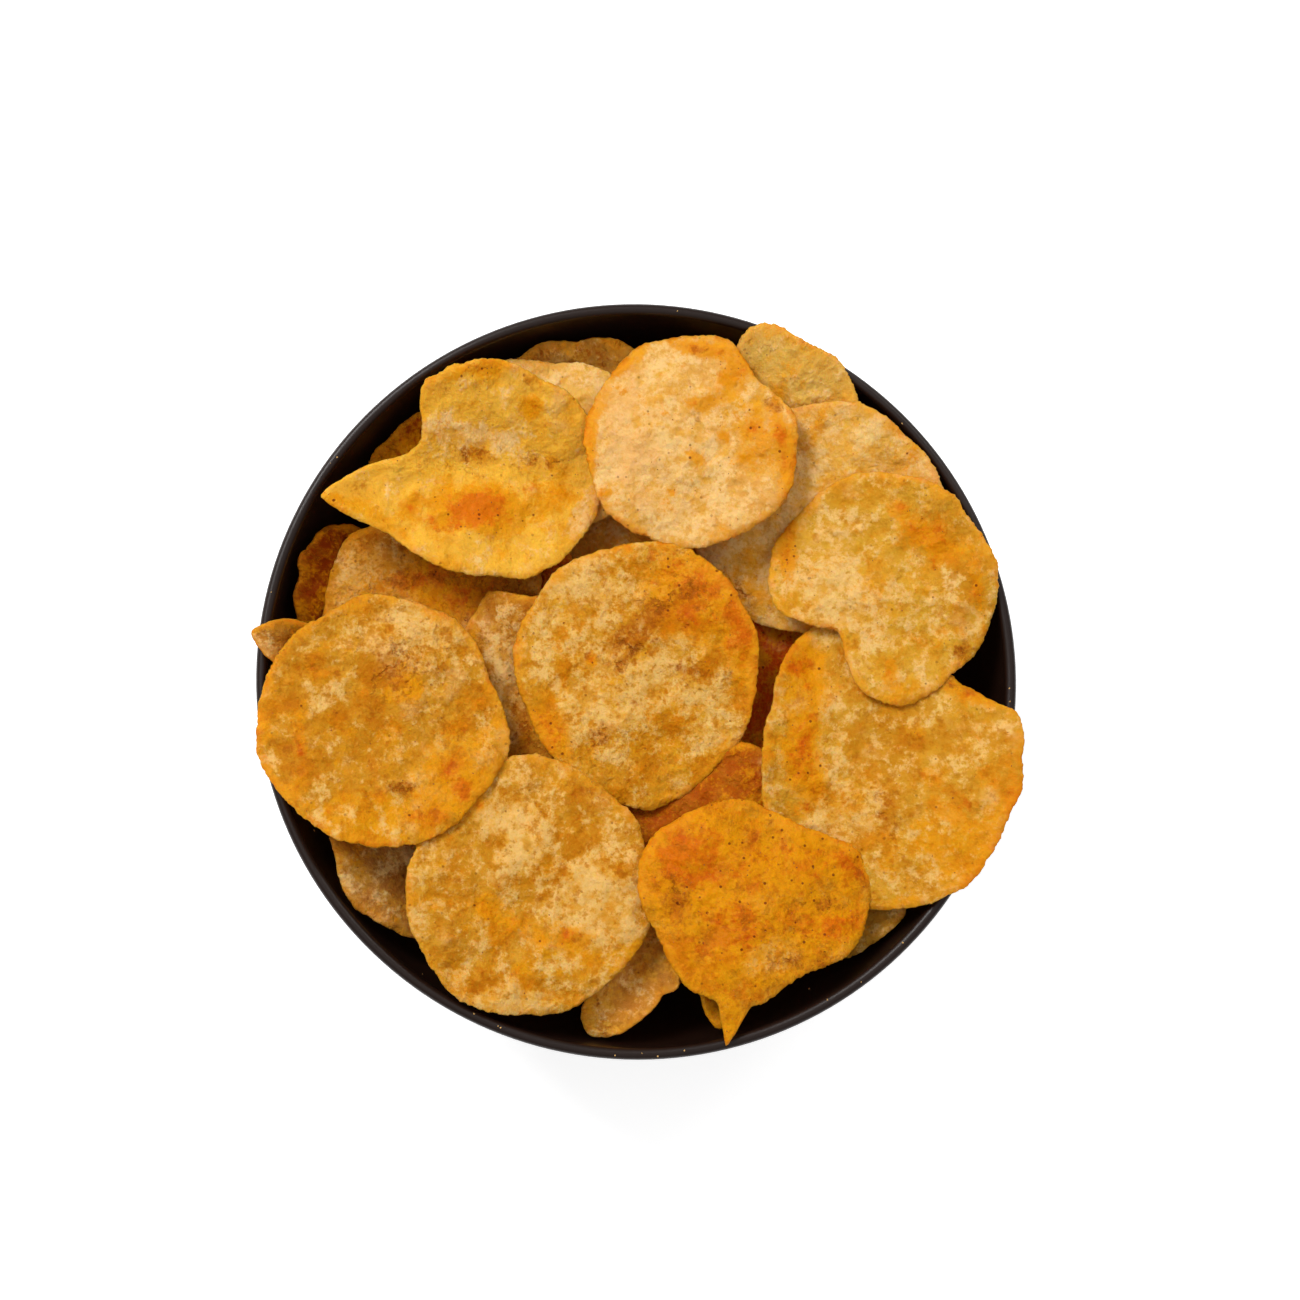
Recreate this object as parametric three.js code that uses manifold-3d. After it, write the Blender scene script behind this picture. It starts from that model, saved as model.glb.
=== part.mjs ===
// A bowl heaped with potato crisps: a round black bowl on a foot ring, and the heap that fills it.
// Millimetres, +Z up, with the origin in the middle of the bowl's base.
//
// The heap is one solid. Its core is a low mound inside the bowl, and the crisps that show lie on
// it one after another, each as a thin bent sheet of its true size, down to where it first touches
// what is already there. All of them are then joined to the core.

import * as THREE from 'three';
import { mergeVertices } from 'three/addons/utils/BufferGeometryUtils.js';
import Module from 'manifold-3d';

// --- Driving dimensions: the bowl -----------------------------------------------------------

const RIM_RADIUS = 80; // outside of the rim
const BOWL_HEIGHT = 64;
const WALL = 2.4; // thickness of the wall, and width of the rim
const FOOT_RADIUS = 38; // outside of the foot ring
const FOOT_WIDTH = 4.5;
const FOOT_HEIGHT = 3;
const RECESS = 2.2; // depth of the hollow inside the foot ring
const WALL_ROUNDNESS = 1.6; // 1 is a straight cone, 2 a quarter of an ellipse
const WALL_STEPS = 10; // facets up the wall
const RIM_STEPS = 4; // facets round the edge of the rim
const BOWL_SIDES = 64;

// --- Driving dimensions: the heap -----------------------------------------------------------

const CLEARANCE = 0.9; // between the heap and the bowl
const CORE_RADIUS = 60; // where the top of the core ends
const CORE_EDGE_HEIGHT = 40;
const CORE_MIDDLE_HEIGHT = 50;
const CORE_SIDES = 36;
const SINK = 1.2; // how far the lowest crisps press into the core
const CRISP_THICKNESS = 2;
const LAID_THICKNESS = 0.8; // spacing of the layers: less than the thickness, so touching crisps join
const RINGS = [0.34, 0.68, 1]; // rows of vertices from a crisp's middle to its edge
const SPOKES = 18; // evenly spread vertices in a row, besides those at corners
const SPOKE_GAP = 0.14; // radians that an evenly spread spoke keeps from one at a corner
const WALL_REACH = 1; // room that a crisp's edge keeps from the side of the wall
const CELL = 1; // size of a cell of the height map on which crisps are laid
const SPREAD = 0.35; // how far round a sample point a laid crisp marks the map
const MAP_RADIUS = 96;
const LEAN_LIMIT = 0.5; // most that a crisp may tip to find its rest, as rise per millimetre
const SAMPLES = 44; // points across a crisp that feel for what lies below it

// --- The crisps, from the lowest to the highest ---------------------------------------------
// at: middle, seen from above. across: width and depth, turned by turn degrees.
// edge: lobes (out > 0) and notches (out < 0) toward an angle, as wide as spread on each side.
// cup: how far the edge lies above the middle at the ends of the width and of the depth.
// folds: beyond a line through a point, toward an angle, the sheet rises, rounded over soft.
// lean: the rise per millimetre along X and Y from which the crisp starts to find its rest; a held
// crisp keeps it, and leanLimit is the most that any other may lean.
// press: how far it is pressed into what it rests on.

const corner = (toward, out, spread) => ({ toward, out, spread, pointed: true });
const lobe = (toward, out, spread) => ({ toward, out, spread, pointed: false });
const fold = (through, toward, rise, soft) => ({ through, toward, rise, soft });

const crisps = [
  // Dark under the bottom gap.
  { at: [3, -50], across: [36, 32], cup: [2, -1] },
  // Brown by the lower left wall.
  { at: [-52, -27], across: [28, 32], cup: [2, 2] },
  // Edge-on sliver at the left wall.
  { at: [-65, 21], across: [14, 28], turn: -18, cup: [2, -2],
    lean: [-0.8, 0.3], held: true },
  // Red-brown in the upper left shadow.
  { at: [-42, 42], across: [32, 32], cup: [3, 1] },
  // Grey-brown at the back.
  { at: [-11, 59], across: [40, 30], cup: [1, 3] },
  // Pale at the back.
  { at: [14, 59.5], across: [32, 27], cup: [3, 0] },
  // Brown above the middle.
  { at: [-6, 30], across: [44, 36], cup: [-1, 2] },
  // Pale at the lower left wall.
  { at: [-45, -36], across: [38, 36], cup: [2, -1] },
  // Orange-brown in the left gap.
  { at: [-28, 17], across: [34, 36], cup: [2, 1], leanLimit: 0.15 },
  // Brown and pale on the left.
  { at: [-42.5, 14], across: [47, 45], cup: [0, -2],
    edge: [lobe(140, 2, 36)], press: 0.9 },
  // Pale between the left and the middle.
  { at: [-20, -4], across: [44, 42], cup: [-2, 2],
    edge: [corner(118, 4, 22)], leanLimit: 0.15 },
  // Shadowed right of the middle.
  { at: [26, -14], across: [34, 40], cup: [1, -1] },
  // Orange-brown right of the middle.
  { at: [32, 2], across: [36, 40], cup: [-1, 2] },
  // Pale at the lower right wall.
  { at: [41.5, -44], across: [30, 30], cup: [2, -1], leanLimit: 0.3 },
  // Yellowish below the right.
  { at: [28, -34], across: [42, 36], cup: [-2, 1] },
  // Orange-brown below the middle.
  { at: [11, -31], across: [44, 36], turn: 30, cup: [1, -2] },
  // Curled at the bottom.
  { at: [2.8, -61], across: [34.5, 12], turn: 55, cup: [-1, 3],
    edge: [lobe(210, 4, 30)], press: 0.4 },
  // Small tip at the bottom.
  { at: [16.5, -54], across: [9, 33], cup: [0, 1],
    edge: [corner(272, 3, 40)], leanLimit: 0.15, press: 1 },
  // Pointed over the left rim.
  { at: [-66, 4.2], across: [24, 11], turn: -12, cup: [0, 3],
    edge: [corner(164, 4, 40)], lean: [-0.45, 0.05], held: true, press: 0.5 },
  // Small at the upper right rim.
  { at: [33, 58.5], across: [28, 27], turn: 135, cup: [1, -1],
    edge: [lobe(122, 5, 34), lobe(60, -1.5, 40)] },
  // Pale behind the folded one.
  { at: [-20, 50.5], across: [47, 38], cup: [3, -1] },
  // Large pale on the upper right.
  { at: [40.3, 33.8], across: [50, 49], cup: [-1, 2],
    edge: [lobe(195, 3, 45)] },
  // Folded on the upper left.
  { at: [-31, 42], across: [52, 43], turn: 8, cup: [1, -1],
    edge: [corner(189, 9.5, 24), lobe(157, -7.5, 32), lobe(105, 3.2, 42), lobe(2, -2.4, 58)],
    folds: [fold([0, 1], -92, 0.55, 5), fold([0, 3], 95, 0.3, 6)], leanLimit: 0.3 },
  // Large with a curled edge at the right.
  { at: [52, -20], across: [53, 57], turn: -35, cup: [2, -2],
    edge: [corner(24, 3.2, 24), lobe(46, -3.9, 34), lobe(115, 7, 40), lobe(200, -0.8, 30),
      lobe(233, -5, 30), lobe(-62, 2.2, 50)],
    folds: [fold([-14, 4], 180, 0.6, 4)] },
  // Lobed at the right.
  { at: [52, 20.4], across: [48, 45], turn: -20, cup: [-2, 1],
    edge: [lobe(-80, 4, 32), lobe(-136, -8.5, 34)], folds: [fold([-12, -8], 215, 0.5, 4)] },
  // Middle.
  { at: [0, 1.5], across: [51, 53], turn: 30, cup: [2, -1],
    edge: [lobe(-88, 2, 40), lobe(75, 1.6, 50)], leanLimit: 0.22 },
  // Round on the lower left.
  { at: [-22.7, -44.2], across: [51, 54], cup: [2, -1] },
  // Large at the left rim.
  { at: [-54, -10.3], across: [50, 52.5], cup: [-1, 3],
    edge: [lobe(-10, 2, 40)], press: 0.4 },
  // Orange with a pinched tip.
  { at: [24, -44], across: [49, 36], cup: [-2, -1],
    edge: [corner(-100, 8.5, 9), lobe(-99, 6.5, 55), lobe(50, -3.9, 44), lobe(-35, 3, 36),
      lobe(-130, 2, 28)] },
  // Round on top.
  { at: [11, 50], across: [45, 46], cup: [1, -2], edge: [lobe(42, -2.6, 30)], press: 0.6 },
];

// --- Small helpers --------------------------------------------------------------------------

const radians = (degrees) => (degrees * Math.PI) / 180;
const FULL_TURN = 2 * Math.PI;

function angleBetween(a, b) {
  const turn = Math.abs(a - b) % FULL_TURN;
  return Math.min(turn, FULL_TURN - turn);
}

const material = (color, roughness) => new THREE.MeshStandardMaterial({ color, roughness, metalness: 0 });

// --- The bowl's profile ---------------------------------------------------------------------

const WALL_TOP = BOWL_HEIGHT - WALL / 2; // where the wall ends and the round rim begins

// Points down the wall from the rim to the foot, on the curve that lies inset inside the outside.
function wallCurve(inset, steps) {
  const wide = RIM_RADIUS - FOOT_RADIUS - inset;
  const high = WALL_TOP - FOOT_HEIGHT - inset;
  const points = [];
  for (let i = 0; i <= steps; i++) {
    const turn = (Math.PI / 2) * (i / steps);
    const out = Math.cos(turn) ** (2 / WALL_ROUNDNESS);
    const down = Math.sin(turn) ** (2 / WALL_ROUNDNESS);
    points.push(new THREE.Vector2(FOOT_RADIUS + wide * out, WALL_TOP - high * down));
  }
  return points;
}

// Height of the inside of the bowl at a distance from the axis, keeping inset from the outside.
function insideHeight(radius, inset) {
  const wide = RIM_RADIUS - FOOT_RADIUS - inset;
  const high = WALL_TOP - FOOT_HEIGHT - inset;
  const out = Math.max(0, (radius - FOOT_RADIUS) / wide);
  return WALL_TOP - high * (1 - out ** WALL_ROUNDNESS) ** (1 / WALL_ROUNDNESS);
}

function lathe(profile, sides) {
  const geometry = new THREE.LatheGeometry(profile, sides);
  geometry.rotateX(Math.PI / 2);
  geometry.deleteAttribute('normal');
  geometry.deleteAttribute('uv');
  return mergeVertices(geometry, 1e-4);
}

function bowlGeometry() {
  const footInside = FOOT_RADIUS - FOOT_WIDTH;
  const profile = [
    new THREE.Vector2(0, RECESS),
    new THREE.Vector2(footInside - 1, RECESS),
    new THREE.Vector2(footInside, 0),
    new THREE.Vector2(FOOT_RADIUS - 0.5, 0),
  ];
  profile.push(...wallCurve(0, WALL_STEPS).reverse());
  const rimMiddle = RIM_RADIUS - WALL / 2;
  for (let i = 1; i < RIM_STEPS; i++) {
    const turn = (Math.PI * i) / RIM_STEPS;
    profile.push(new THREE.Vector2(
      rimMiddle + (WALL / 2) * Math.cos(turn),
      WALL_TOP + (WALL / 2) * Math.sin(turn),
    ));
  }
  const inside = wallCurve(WALL, WALL_STEPS);
  profile.push(...inside, new THREE.Vector2(0, inside[WALL_STEPS].y));
  return lathe(profile, BOWL_SIDES);
}

// --- The shape of one crisp -----------------------------------------------------------------

// Distance from the middle of a crisp to its edge. No two crisps are uneven in the same way.
function reach(crisp, angle) {
  const [wide, deep] = crisp.across;
  const own = angle - radians(crisp.turn ?? 0);
  let distance = 1 / Math.hypot(Math.cos(own) / (wide / 2), Math.sin(own) / (deep / 2));
  for (const { toward, out, spread, pointed } of crisp.edge ?? []) {
    const aside = angleBetween(angle, radians(toward)) / radians(spread);
    if (aside < 1) distance += out * (pointed ? (1 - aside) ** 1.5 : (1 - aside ** 2) ** 2);
  }
  const phase = crisp.phase;
  return distance + 0.5 * Math.sin(3 * angle + phase) + 0.35 * Math.sin(7 * angle + 2 * phase);
}

// Height of a crisp's sheet at a place beside its middle, before it is laid down.
function sheetHeight(crisp, x, y) {
  const turn = radians(crisp.turn ?? 0);
  const along = (x * Math.cos(turn) + y * Math.sin(turn)) / (crisp.across[0] / 2);
  const over = (y * Math.cos(turn) - x * Math.sin(turn)) / (crisp.across[1] / 2);
  let z = crisp.cup[0] * along ** 2 + crisp.cup[1] * over ** 2;
  for (const { through, toward, rise, soft } of crisp.folds ?? []) {
    const [aside, ahead] = [x - through[0], y - through[1]];
    const beyond = aside * Math.cos(radians(toward)) + ahead * Math.sin(radians(toward));
    z += (rise * (beyond + Math.hypot(beyond, soft))) / 2;
  }
  const phase = crisp.phase;
  z += 0.5 * Math.sin(0.19 * x + phase) * Math.cos(0.16 * y + 2 * phase);
  return z + crisp.lean[0] * x + crisp.lean[1] * y;
}

// The sheet's upward normal.
function sheetNormal(crisp, x, y) {
  const step = 0.25;
  const slopeX = (sheetHeight(crisp, x + step, y) - sheetHeight(crisp, x - step, y)) / (2 * step);
  const slopeY = (sheetHeight(crisp, x, y + step) - sheetHeight(crisp, x, y - step)) / (2 * step);
  return new THREE.Vector3(-slopeX, -slopeY, 1).normalize();
}

// Angles of a crisp's spokes: some at each corner and notch, and evenly spread ones between them.
function spokeAngles(crisp) {
  const angles = [];
  for (const { toward, out, spread, pointed } of crisp.edge ?? []) {
    if (!pointed && Math.abs(out) < 4) continue;
    for (const side of pointed ? [-1, -0.45, 0, 0.45, 1] : [-0.5, 0, 0.5]) {
      angles.push((radians(toward + side * spread) + 2 * FULL_TURN) % FULL_TURN);
    }
  }
  const fixed = [...angles];
  for (let i = 0; i < SPOKES; i++) {
    const angle = (FULL_TURN * i) / SPOKES;
    if (fixed.every((other) => angleBetween(angle, other) > SPOKE_GAP)) angles.push(angle);
  }
  return angles.sort((a, b) => a - b);
}

// --- Laying the crisps ----------------------------------------------------------------------

const MAP_SIZE = 2 * Math.round(MAP_RADIUS / CELL) + 1;
const cellOf = (x, y) =>
  Math.round((y + MAP_RADIUS) / CELL) * MAP_SIZE + Math.round((x + MAP_RADIUS) / CELL);

const coreHeight = (radius) =>
  CORE_EDGE_HEIGHT + (CORE_MIDDLE_HEIGHT - CORE_EDGE_HEIGHT) * (1 - (radius / CORE_RADIUS) ** 2);

// What a crisp can rest on before any is laid: the core, the inside of the bowl and its rim.
function emptyBowlMap() {
  const map = new Float64Array(MAP_SIZE * MAP_SIZE);
  const inset = WALL + WALL_REACH;
  for (let row = 0; row < MAP_SIZE; row++) {
    for (let column = 0; column < MAP_SIZE; column++) {
      const radius = Math.hypot(column * CELL - MAP_RADIUS, row * CELL - MAP_RADIUS);
      let height = 0;
      if (radius < RIM_RADIUS - inset) height = insideHeight(radius, inset) + CLEARANCE;
      else if (radius < RIM_RADIUS + WALL_REACH) height = BOWL_HEIGHT + CLEARANCE;
      if (radius < CORE_RADIUS) height = Math.max(height, coreHeight(radius) - SINK);
      map[row * MAP_SIZE + column] = height;
    }
  }
  return map;
}

// Points spread evenly over a crisp: a square grid drawn out to the crisp's outline.
function samplePoints(crisp) {
  const points = [];
  for (let i = 0; i <= SAMPLES; i++) {
    for (let j = 0; j <= SAMPLES; j++) {
      const u = (2 * i) / SAMPLES - 1;
      const v = (2 * j) / SAMPLES - 1;
      const ring = Math.max(Math.abs(u), Math.abs(v));
      if (ring === 0) continue;
      const angle = Math.abs(u) > Math.abs(v)
        ? (Math.PI / 4) * (v / u) + (u < 0 ? Math.PI : 0)
        : Math.PI / 2 - (Math.PI / 4) * (u / v) + (v < 0 ? Math.PI : 0);
      const distance = ring * reach(crisp, angle);
      points.push([distance * Math.cos(angle), distance * Math.sin(angle)]);
    }
  }
  for (const angle of spokeAngles(crisp)) {
    points.push([reach(crisp, angle) * Math.cos(angle), reach(crisp, angle) * Math.sin(angle)]);
  }
  return points;
}

// Tips a crisp and lowers it until its middle can sink no further, and adds it to the map.
function lay(crisp, map) {
  crisp.lean = [0, 0];
  const half = LAID_THICKNESS / 2;
  const points = samplePoints(crisp).map(([x, y]) => {
    const z = sheetHeight(crisp, x, y);
    const room = half / sheetNormal(crisp, x, y).z;
    return { x, y, z, room, cell: cellOf(crisp.at[0] + x, crisp.at[1] + y) };
  });
  const restHeight = (leanX, leanY) => {
    let height = -Infinity;
    for (const { x, y, z, room, cell } of points) {
      height = Math.max(height, map[cell] + room - z - leanX * x - leanY * y);
    }
    return height;
  };

  const limit = crisp.held ? 0 : crisp.leanLimit ?? LEAN_LIMIT;
  let lean = crisp.startLean;
  let height = restHeight(...lean);
  for (let step = 0.08; step > 0.002;) {
    let better = null;
    for (let way = 0; way < 8; way++) {
      const tried = [
        lean[0] + step * Math.cos((way * Math.PI) / 4),
        lean[1] + step * Math.sin((way * Math.PI) / 4),
      ];
      if (Math.hypot(...tried) > limit) continue;
      const triedHeight = restHeight(...tried);
      if (triedHeight < height - 1e-6) {
        height = triedHeight;
        better = tried;
      }
    }
    if (better) lean = better;
    else step /= 2;
  }
  crisp.lean = lean;
  crisp.height = height - (crisp.press ?? 0);

  for (const { x, y, z, room } of points) {
    const top = crisp.height + z + lean[0] * x + lean[1] * y + room;
    for (const [dx, dy] of [[-SPREAD, -SPREAD], [SPREAD, -SPREAD], [-SPREAD, SPREAD], [SPREAD, SPREAD]]) {
      const cell = cellOf(crisp.at[0] + x + dx, crisp.at[1] + y + dy);
      map[cell] = Math.max(map[cell], top);
    }
  }
}

// --- Solids ---------------------------------------------------------------------------------

function crispGeometry(crisp) {
  const angles = spokeAngles(crisp);
  const spots = [[0, 0]];
  for (const ring of RINGS) {
    for (const angle of angles) {
      const distance = ring * reach(crisp, angle);
      spots.push([distance * Math.cos(angle), distance * Math.sin(angle)]);
    }
  }
  const positions = [];
  for (const side of [1, -1]) {
    for (const [x, y] of spots) {
      const z = crisp.height + sheetHeight(crisp, x, y);
      const place = new THREE.Vector3(crisp.at[0] + x, crisp.at[1] + y, z);
      place.addScaledVector(sheetNormal(crisp, x, y), (side * CRISP_THICKNESS) / 2);
      positions.push(...place.toArray());
    }
  }
  const indices = [];
  const count = angles.length;
  const under = spots.length;
  const face = (a, b, c) => {
    indices.push(a, b, c);
    indices.push(under + a, under + c, under + b);
  };
  for (let i = 0; i < count; i++) {
    const next = (i + 1) % count;
    face(0, 1 + i, 1 + next);
    for (let ring = 1; ring < RINGS.length; ring++) {
      const inner = 1 + (ring - 1) * count;
      const outer = inner + count;
      face(inner + i, outer + i, outer + next);
      face(inner + i, outer + next, inner + next);
    }
    const edge = 1 + (RINGS.length - 1) * count;
    indices.push(edge + i, under + edge + i, under + edge + next);
    indices.push(edge + i, under + edge + next, edge + next);
  }
  const geometry = new THREE.BufferGeometry();
  geometry.setAttribute('position', new THREE.Float32BufferAttribute(positions, 3));
  geometry.setIndex(indices);
  return geometry;
}

// The mound under the crisps: it follows the inside of the bowl, with a gently domed top.
function coreGeometry() {
  const inset = WALL + CLEARANCE;
  const side = wallCurve(inset, WALL_STEPS).reverse().filter((point) => point.y < CORE_EDGE_HEIGHT - 4);
  const profile = [new THREE.Vector2(0, side[0].y), ...side.map((point) => {
    return new THREE.Vector2(Math.min(point.x, CORE_RADIUS), point.y);
  })];
  for (const share of [1, 0.75, 0.5, 0.25, 0]) {
    profile.push(new THREE.Vector2(CORE_RADIUS * share, coreHeight(CORE_RADIUS * share)));
  }
  return lathe(profile, CORE_SIDES);
}

// --- Joining --------------------------------------------------------------------------------

const wasm = await Module();
wasm.setup();

function solidOf(geometry) {
  return new wasm.Manifold(new wasm.Mesh({
    numProp: 3,
    vertProperties: new Float32Array(geometry.attributes.position.array),
    triVerts: new Uint32Array(geometry.index.array),
  }));
}

function geometryOf(solid) {
  const mesh = solid.getMesh();
  const geometry = new THREE.BufferGeometry();
  geometry.setAttribute('position', new THREE.BufferAttribute(new Float32Array(mesh.vertProperties), 3));
  geometry.setIndex(Array.from(mesh.triVerts));
  return geometry;
}

// Keeps only the largest closed skin: pockets that joining sealed are filled, loose scraps dropped.
function largestSkin(geometry) {
  const position = geometry.attributes.position;
  const index = geometry.index.array;
  const leader = Array.from({ length: position.count }, (_, i) => i);
  const find = (i) => {
    while (leader[i] !== i) {
      leader[i] = leader[leader[i]];
      i = leader[i];
    }
    return i;
  };
  for (let i = 0; i < index.length; i += 3) {
    leader[find(index[i])] = find(index[i + 1]);
    leader[find(index[i + 1])] = find(index[i + 2]);
  }
  const volumes = new Map();
  const [a, b, c] = [new THREE.Vector3(), new THREE.Vector3(), new THREE.Vector3()];
  for (let i = 0; i < index.length; i += 3) {
    [a, b, c].forEach((corner, k) => corner.fromBufferAttribute(position, index[i + k]));
    const skin = find(index[i]);
    volumes.set(skin, (volumes.get(skin) ?? 0) + a.dot(b.cross(c)));
  }
  const largest = [...volumes.entries()].sort((p, q) => q[1] - p[1])[0][0];
  const kept = [];
  for (let i = 0; i < index.length; i += 3) {
    if (find(index[i]) === largest) kept.push(index[i], index[i + 1], index[i + 2]);
  }
  geometry.setIndex(kept);
  return geometry;
}

function heapGeometry() {
  const map = emptyBowlMap();
  let heap = solidOf(coreGeometry());
  crisps.forEach((crisp, i) => {
    crisp.phase = 2.4 * (i + 1);
    crisp.startLean = crisp.lean ?? [0, 0];
    lay(crisp, map);
    heap = heap.add(solidOf(crispGeometry(crisp)));
  });
  return largestSkin(geometryOf(heap));
}

// --- The object -----------------------------------------------------------------------------

const bowl = new THREE.Mesh(bowlGeometry(), material(0x14100e, 0.35));
bowl.name = 'bowl';

const crispHeap = new THREE.Mesh(heapGeometry(), material(0xd9973a, 0.7));
crispHeap.name = 'crisp_heap';

const object = new THREE.Group();
object.add(bowl, crispHeap);

export default object;
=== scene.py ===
# %% [markdown]
# # A bowl of crisps
#
# A round black bowl holds a heap of thin fried slices of potato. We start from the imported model: a
# bowl, and one solid that stands for the whole heap. The bowl is turned again with a smooth wall,
# and the heap is taken apart into its real crisps, each bent, blistered, toasted and seasoned on
# its own.
#
# Blender works in metres here, while cooks and potters think in millimetres, so sizes are written
# in millimetres and scaled once, when a mesh is made.

# %% Load the frame
import math

import bmesh
import bpy
import numpy as np
from mathutils import Matrix, Vector


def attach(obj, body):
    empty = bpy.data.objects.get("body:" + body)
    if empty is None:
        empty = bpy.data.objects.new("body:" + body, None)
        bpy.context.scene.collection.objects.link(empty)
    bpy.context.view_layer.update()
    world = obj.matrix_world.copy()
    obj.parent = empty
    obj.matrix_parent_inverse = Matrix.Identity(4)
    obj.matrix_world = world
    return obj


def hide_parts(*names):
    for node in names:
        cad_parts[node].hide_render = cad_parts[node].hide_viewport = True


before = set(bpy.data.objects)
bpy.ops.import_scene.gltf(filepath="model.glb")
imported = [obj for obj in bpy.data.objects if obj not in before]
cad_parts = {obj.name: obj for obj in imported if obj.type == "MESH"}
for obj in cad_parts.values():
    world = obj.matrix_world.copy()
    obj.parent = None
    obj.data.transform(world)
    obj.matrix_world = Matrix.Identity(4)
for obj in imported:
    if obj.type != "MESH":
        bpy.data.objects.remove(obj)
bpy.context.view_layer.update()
MM = 0.001
print("nodes:", sorted(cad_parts))

# %% [markdown]
# ## The camera
#
# The bowl is looked at from almost straight above, a little from the front. A lens of middle
# length held 0.6 m away keeps the rim round, but still shows more of the crisps that lie nearer.
# Blender's own helper, to_track_quat, would turn the picture about when it looks down, so the
# camera's three axes are worked out here: backwards from the aim, to the right, and up along the
# picture.

# %% Camera
CAMERA_DISTANCE = 0.6
LENS_LENGTH = 79.05
aim = Vector((2.35, 5.3, 64)) * MM
toward_camera = Vector((-0.05, -0.126, 0.99)).normalized()
to_the_right = Vector((0, 1, 0)).cross(toward_camera).normalized()
up_the_picture = toward_camera.cross(to_the_right)


def add_object(name, data):
    """A new object in the scene."""
    made = bpy.data.objects.new(name, data)
    bpy.context.scene.collection.objects.link(made)
    return made


camera = add_object("camera", bpy.data.cameras.new("camera"))
camera.location = aim + CAMERA_DISTANCE * toward_camera
axes = Matrix((to_the_right, up_the_picture, toward_camera)).transposed()
camera.rotation_euler = axes.to_euler()
camera.data.lens = LENS_LENGTH
bpy.context.scene.camera = camera
print("camera stands at", [round(v, 3) for v in camera.location])

# %% [markdown]
# ## Writing node trees as sums
#
# A pattern such as 1 - mask * noise would take many lines if each Math node were added by hand.
# The small class below wraps a node's socket and overloads the arithmetic signs, so that a sum of
# sockets adds its own Math nodes. Every other node comes from the method `node`, which is given
# the node's type, then its settings, then what goes into its sockets. Shapes and finishes are both
# written so.

# %% Sockets in sums
def sign(operation, swapped=False):
    """An arithmetic sign between a wire and another wire or number."""
    def between(wire, other):
        return wire.math(operation, *((other, wire) if swapped else (wire, other)))
    return between


class Wire:
    """A socket of a node. Arithmetic on it adds Math nodes to its tree."""

    def __init__(self, graph, socket):
        self.graph, self.socket = graph, socket

    def math(self, operation, *values, clamp=False):
        settings = {"operation": operation, "use_clamp": clamp}
        return self.graph.node("ShaderNodeMath", settings, dict(enumerate(values)))

    __add__ = __radd__ = sign("ADD")
    __mul__ = __rmul__ = sign("MULTIPLY")
    __sub__, __rsub__ = sign("SUBTRACT"), sign("SUBTRACT", swapped=True)
    __truediv__, __gt__ = sign("DIVIDE"), sign("GREATER_THAN")

    def clamped(self):
        """This value, kept between 0 and 1."""
        return self.math("ADD", self, 0, clamp=True)

    def rise(self, low, high):
        """0 below low, 1 above high, a smooth slope between. With low above high it falls."""
        if low > high:
            return 1 - self.rise(high, low)
        settings = {"interpolation_type": "SMOOTHSTEP"}
        return self.graph.node("ShaderNodeMapRange", settings, {0: self, 1: low, 2: high})

    def output(self, name):
        """Another output of the node that this socket is on."""
        return Wire(self.graph, pick(self.socket.node.outputs, name))


def pick(sockets, key):
    """The socket with this place, identifier or name."""
    if isinstance(key, int):
        return sockets[key]
    for field in ("identifier", "name"):
        for socket in sockets:
            if getattr(socket, field) == key:
                return socket
    raise KeyError(key)


# %% Nodes
class Graph:
    """Adds nodes to one tree."""

    def __init__(self, tree):
        self.tree = tree

    def plug(self, socket, value):
        """Puts a wire or a plain value into a socket."""
        if isinstance(value, Wire):
            self.tree.links.new(value.socket, socket)
        else:
            socket.default_value = value

    def node(self, kind, settings=None, inputs=None, give=0):
        made = self.tree.nodes.new(kind)
        for name, value in (settings or {}).items():
            setattr(made, name, value)
        for key, value in (inputs or {}).items():
            self.plug(pick(made.inputs, key), value)
        return Wire(self, pick(made.outputs, give))

    def mix(self, base, over, share, blend="MIX"):
        """The colour base with the colour over laid on it, as far as share says."""
        return self.node("ShaderNodeMix", {"data_type": "RGBA", "blend_type": blend}, {
            "Factor_Float": share, "A_Color": base, "B_Color": over}, "Result_Color")

    def noise(self, place, size, detail, roughness=0.5, seed=0.0):
        """Noise between 0 and 1 whose lumps are about size wide, in the units of place."""
        return self.node("ShaderNodeTexNoise", {"noise_dimensions": "4D"}, {
            "Vector": place, "W": seed, "Scale": 1 / size, "Detail": detail,
            "Roughness": roughness}, "Fac")

    def axis(self, vector, letter):
        """One of the three numbers in a vector or a colour."""
        return self.node("ShaderNodeSeparateXYZ", {}, {0: vector}, letter)

    def bump(self, height, strength, distance):
        """Fine relief that only the light shows. Its depth is in metres."""
        return self.node("ShaderNodeBump", {}, {
            "Strength": strength, "Distance": distance, "Height": height})


def paint(red, green, blue):
    """A colour as seen on a screen, from 0 to 255, as the linear colour that shaders take."""
    def linear(v):
        v /= 255
        return v / 12.92 if v <= 0.04045 else ((v + 0.055) / 1.055) ** 2.4
    return (linear(red), linear(green), linear(blue), 1.0)


def finish(write):
    """Turns a function that says what goes into a shader's sockets into a material of its name."""
    material = bpy.data.materials.new(write.__name__)
    material.use_nodes = True
    graph = Graph(material.node_tree)
    shader = material.node_tree.nodes["Principled BSDF"]
    for key, value in write(graph).items():
        graph.plug(shader.inputs[key], value)
    print("material", material.name, "has", len(material.node_tree.nodes), "nodes")
    return material


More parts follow.
